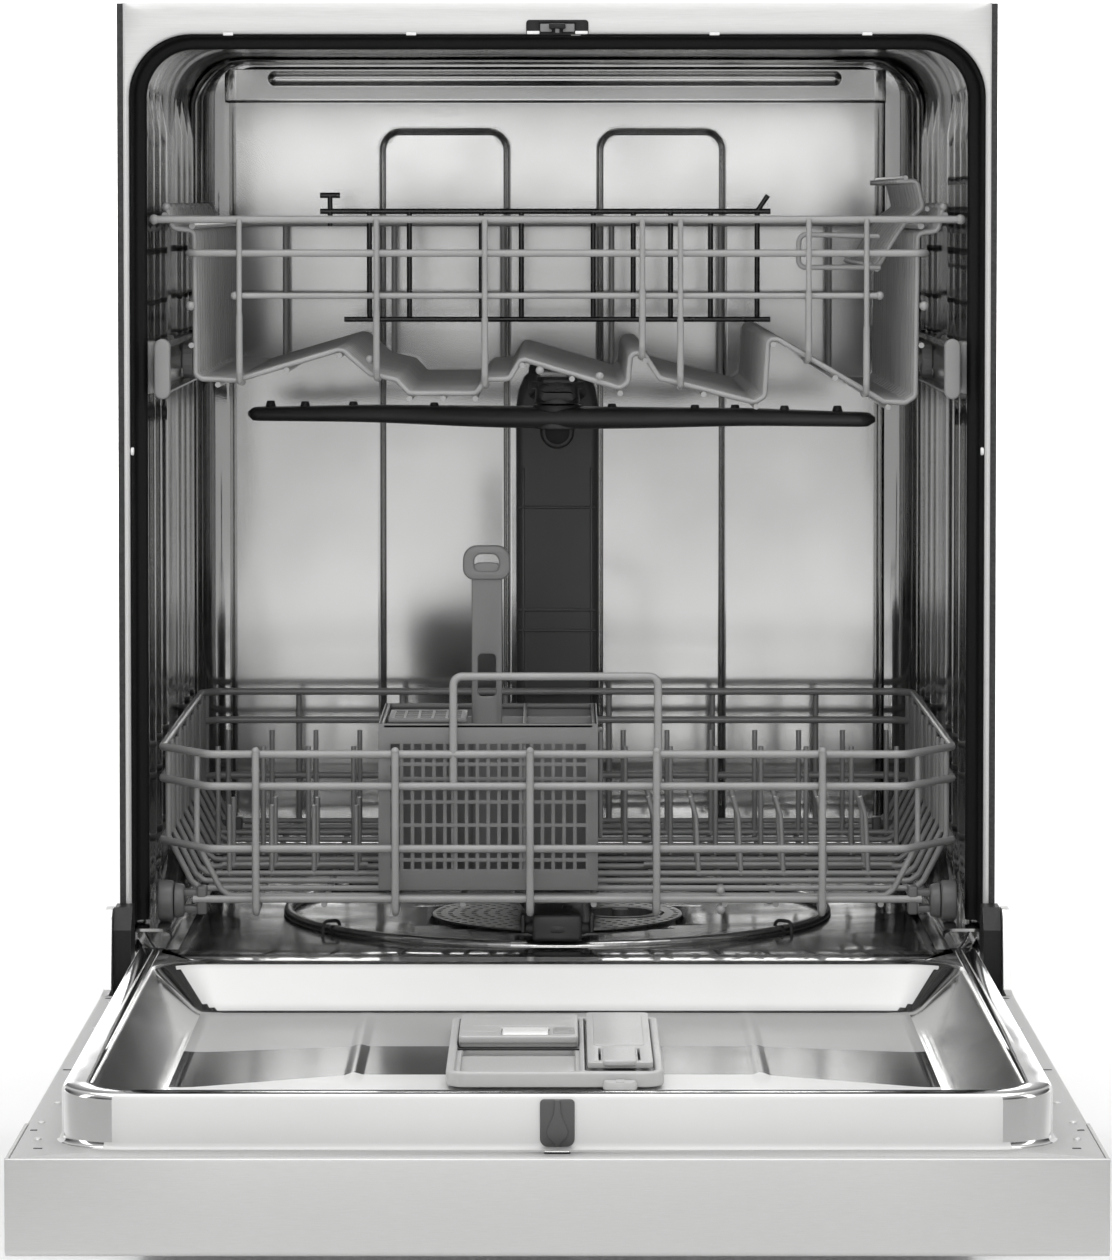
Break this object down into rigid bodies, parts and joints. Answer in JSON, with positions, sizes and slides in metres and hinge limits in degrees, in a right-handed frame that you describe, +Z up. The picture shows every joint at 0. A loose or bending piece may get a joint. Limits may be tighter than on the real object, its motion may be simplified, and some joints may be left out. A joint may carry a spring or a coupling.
{
  "type": "dishwasher",
  "caption": "Built-in dishwasher with its door folded down, a stainless tub, two sliding wire racks, spray arms, a cutlery basket, a dispenser and pumps.",
  "frame": {"origin": "centre of the bounding box on the floor, under the open appliance", "axes": "+Y from the door's free edge to the back of the tub, +Z up, +X to the right seen from the front"},
  "size_m": [0.6088, 1.27, 0.86],
  "materials": {
    "tub_steel": "polished stainless sheet",
    "rail_steel": "stainless channel",
    "fascia_steel": "horizontally brushed stainless sheet",
    "galvanised": "galvanised sheet",
    "arm_steel": "plated steel plate",
    "element_steel": "dull stainless tube",
    "spring_steel": "spring wire",
    "gasket_rubber": "matt black rubber",
    "felt": "black sound-deadening felt",
    "black_plastic": "moulded black",
    "dark_plastic": "moulded dark grey",
    "mid_plastic": "moulded grey",
    "light_plastic": "moulded light grey",
    "white_plastic": "moulded white",
    "coated_wire": "grey nylon coating on steel wire",
    "black_wire": "black nylon coating on steel wire"
  },
  "bodies": {
    "cabinet": {"tub_shell": "tub_steel", "door_gasket": "gasket_rubber", "insulation_blanket": "felt", "base_frame": "galvanised", "toe_kick_panel": "black_plastic", "latch_striker": "black_plastic", "hinge_bracket_left": "black_plastic", "hinge_bracket_right": "black_plastic", "sump_housing": "mid_plastic", "wash_pump_motor": "dark_plastic", "drain_pump": "black_plastic", "water_inlet_valve": "white_plastic", "heating_element": "element_steel", "water_feed_column": "dark_plastic", "door_spring_left": "spring_steel", "door_spring_right": "spring_steel"},
    "door": {"inner_door_panel": "tub_steel", "outer_door_panel": "fascia_steel", "control_fascia": "fascia_steel", "hinge_arm_left": "arm_steel", "hinge_arm_right": "arm_steel", "dispenser_housing": "light_plastic", "latch_guide": "mid_plastic"},
    "detergent_lid": {"detergent_lid": "light_plastic"},
    "rinse_aid_lid": {"rinse_aid_lid": "light_plastic"},
    "button_power": {"button_power": "black_plastic"},
    "button_start": {"button_start": "black_plastic"},
    "lower_spray_arm": {"lower_spray_arm": "dark_plastic"},
    "filter": {"filter_cup": "mid_plastic"},
    "upper_rail_left": {"upper_rail_left": "rail_steel"},
    "upper_rail_right": {"upper_rail_right": "rail_steel"},
    "upper_rack": {"upper_rack_front": "coated_wire", "upper_rack_floor": "coated_wire", "upper_rack_side_left": "coated_wire", "upper_rack_side_right": "coated_wire", "upper_rack_back": "coated_wire", "upper_rack_manifold": "dark_plastic"},
    "mid_spray_arm": {"mid_spray_arm": "dark_plastic"},
    "fold_tines": {"upper_rack_fold_tines": "black_wire"},
    "cup_shelf": {"upper_rack_cup_shelf": "coated_wire"},
    "lower_rack": {"lower_rack_front": "coated_wire", "lower_rack_floor": "coated_wire", "lower_rack_side_left": "coated_wire", "lower_rack_side_right": "coated_wire", "lower_rack_back": "coated_wire", "lower_rack_tines_middle": "coated_wire", "lower_rack_tines_rear": "coated_wire"},
    "cutlery_basket": {"cutlery_basket": "mid_plastic"},
    "leveling_leg_front_left": {"leveling_leg_front_left": "black_plastic"},
    "upper_roller_front_left": {"upper_rack_roller_front_left": "light_plastic"},
    "lower_wheel_front_left": {"lower_rack_wheel_front_left": "mid_plastic"},
    "leveling_leg_front_right": {"leveling_leg_front_right": "black_plastic"},
    "upper_roller_front_right": {"upper_rack_roller_front_right": "light_plastic"},
    "lower_wheel_front_right": {"lower_rack_wheel_front_right": "mid_plastic"},
    "leveling_leg_rear_left": {"leveling_leg_rear_left": "black_plastic"},
    "upper_roller_rear_left": {"upper_rack_roller_rear_left": "light_plastic"},
    "lower_wheel_rear_left": {"lower_rack_wheel_rear_left": "mid_plastic"},
    "leveling_leg_rear_right": {"leveling_leg_rear_right": "black_plastic"},
    "upper_roller_rear_right": {"upper_rack_roller_rear_right": "light_plastic"},
    "lower_wheel_rear_right": {"lower_rack_wheel_rear_right": "mid_plastic"}
  },
  "joints": [
    {"name": "door_hinge", "type": "hinge", "parent": "cabinet", "child": "door", "pos_m": [0, 0.044, 0.184], "axis": [-1, 0, 0], "range_deg": [0, 90], "deforming": ["door_spring_left", "door_spring_right"]},
    {"name": "detergent_lid_slide", "type": "slide", "parent": "door", "child": "detergent_lid", "axis": [0, -1, 0], "range_m": [0, 0.1]},
    {"name": "rinse_aid_lid_hinge", "type": "hinge", "parent": "door", "child": "rinse_aid_lid", "pos_m": [0.037, -0.193, 0.2134], "axis": [-1, 0, 0], "range_deg": [0, 90]},
    {"name": "button_power_press", "type": "slide", "parent": "door", "child": "button_power", "axis": [0, 0, 1], "range_m": [0, 0.002], "stiffness_N_per_m": 300},
    {"name": "button_start_press", "type": "slide", "parent": "door", "child": "button_start", "axis": [0, 0, 1], "range_m": [0, 0.002], "stiffness_N_per_m": 300},
    {"name": "lower_spray_arm_spin", "type": "hinge", "parent": "cabinet", "child": "lower_spray_arm", "pos_m": [0, 0.34, 0.223], "axis": [0, 0, 1], "continuous": true},
    {"name": "filter_twist", "type": "hinge", "parent": "cabinet", "child": "filter", "pos_m": [0.046, 0.34, 0.166], "axis": [0, 0, 1], "range_deg": [0, 90]},
    {"name": "upper_rack_slide", "type": "slide", "parent": "cabinet", "child": "upper_rack", "axis": [0, 1, 0], "range_m": [-0.4, 0]},
    {"name": "upper_rail_left_slide", "type": "slide", "parent": "cabinet", "child": "upper_rail_left", "axis": [0, 1, 0], "range_m": [-0.2, 0]},
    {"name": "upper_rail_right_slide", "type": "slide", "parent": "cabinet", "child": "upper_rail_right", "axis": [0, 1, 0], "range_m": [-0.2, 0]},
    {"name": "mid_spray_arm_spin", "type": "hinge", "parent": "upper_rack", "child": "mid_spray_arm", "pos_m": [0, 0.345, 0.57], "axis": [0, 0, 1], "continuous": true},
    {"name": "fold_tines_hinge", "type": "hinge", "parent": "upper_rack", "child": "fold_tines", "pos_m": [0, 0.465, 0.64], "axis": [-1, 0, 0], "range_deg": [0, 80]},
    {"name": "cup_shelf_hinge", "type": "hinge", "parent": "upper_rack", "child": "cup_shelf", "pos_m": [0.2387, 0.295, 0.676], "axis": [0, -1, 0], "range_deg": [0, 90]},
    {"name": "lower_rack_slide", "type": "slide", "parent": "cabinet", "child": "lower_rack", "axis": [0, 1, 0], "range_m": [-0.54, 0]},
    {"name": "cutlery_basket_lift", "type": "slide", "parent": "lower_rack", "child": "cutlery_basket", "axis": [0, 0, -1], "range_m": [-0.07, 0]},
    {"name": "leveling_leg_front_left_screw", "type": "slide", "parent": "cabinet", "child": "leveling_leg_front_left", "axis": [0, 0, -1], "range_m": [0, 0.03]},
    {"name": "upper_roller_front_left_spin", "type": "hinge", "parent": "upper_rack", "child": "upper_roller_front_left", "pos_m": [-0.266, 0.335, 0.612], "axis": [1, 0, 0], "continuous": true},
    {"name": "lower_wheel_front_left_spin", "type": "hinge", "parent": "lower_rack", "child": "lower_wheel_front_left", "pos_m": [-0.268, 0.1075, 0.2463], "axis": [1, 0, 0], "continuous": true},
    {"name": "leveling_leg_front_right_screw", "type": "slide", "parent": "cabinet", "child": "leveling_leg_front_right", "axis": [0, 0, -1], "range_m": [0, 0.03]},
    {"name": "upper_roller_front_right_spin", "type": "hinge", "parent": "upper_rack", "child": "upper_roller_front_right", "pos_m": [0.266, 0.335, 0.612], "axis": [1, 0, 0], "continuous": true},
    {"name": "lower_wheel_front_right_spin", "type": "hinge", "parent": "lower_rack", "child": "lower_wheel_front_right", "pos_m": [0.268, 0.1075, 0.2463], "axis": [1, 0, 0], "continuous": true},
    {"name": "leveling_leg_rear_left_screw", "type": "slide", "parent": "cabinet", "child": "leveling_leg_rear_left", "axis": [0, 0, -1], "range_m": [0, 0.03]},
    {"name": "upper_roller_rear_left_spin", "type": "hinge", "parent": "upper_rack", "child": "upper_roller_rear_left", "pos_m": [-0.266, 0.515, 0.612], "axis": [1, 0, 0], "continuous": true},
    {"name": "lower_wheel_rear_left_spin", "type": "hinge", "parent": "lower_rack", "child": "lower_wheel_rear_left", "pos_m": [-0.268, 0.52, 0.2463], "axis": [1, 0, 0], "continuous": true},
    {"name": "leveling_leg_rear_right_screw", "type": "slide", "parent": "cabinet", "child": "leveling_leg_rear_right", "axis": [0, 0, -1], "range_m": [0, 0.03]},
    {"name": "upper_roller_rear_right_spin", "type": "hinge", "parent": "upper_rack", "child": "upper_roller_rear_right", "pos_m": [0.266, 0.515, 0.612], "axis": [1, 0, 0], "continuous": true},
    {"name": "lower_wheel_rear_right_spin", "type": "hinge", "parent": "lower_rack", "child": "lower_wheel_rear_right", "pos_m": [0.268, 0.52, 0.2463], "axis": [1, 0, 0], "continuous": true}
  ],
  "couplings": [
    {"joint": "upper_rail_left_slide", "follows": "upper_rack_slide", "ratio": 0.5},
    {"joint": "upper_rail_right_slide", "follows": "upper_rack_slide", "ratio": 0.5},
    {"joint": "upper_roller_front_left_spin", "follows": "upper_rack_slide", "rad_per_m": -38.462},
    {"joint": "lower_wheel_front_left_spin", "follows": "lower_rack_slide", "rad_per_m": -71.429},
    {"joint": "upper_roller_front_right_spin", "follows": "upper_rack_slide", "rad_per_m": -38.462},
    {"joint": "lower_wheel_front_right_spin", "follows": "lower_rack_slide", "rad_per_m": -71.429},
    {"joint": "upper_roller_rear_left_spin", "follows": "upper_rack_slide", "rad_per_m": -38.462},
    {"joint": "lower_wheel_rear_left_spin", "follows": "lower_rack_slide", "rad_per_m": -71.429},
    {"joint": "upper_roller_rear_right_spin", "follows": "upper_rack_slide", "rad_per_m": -38.462},
    {"joint": "lower_wheel_rear_right_spin", "follows": "lower_rack_slide", "rad_per_m": -71.429}
  ]
}
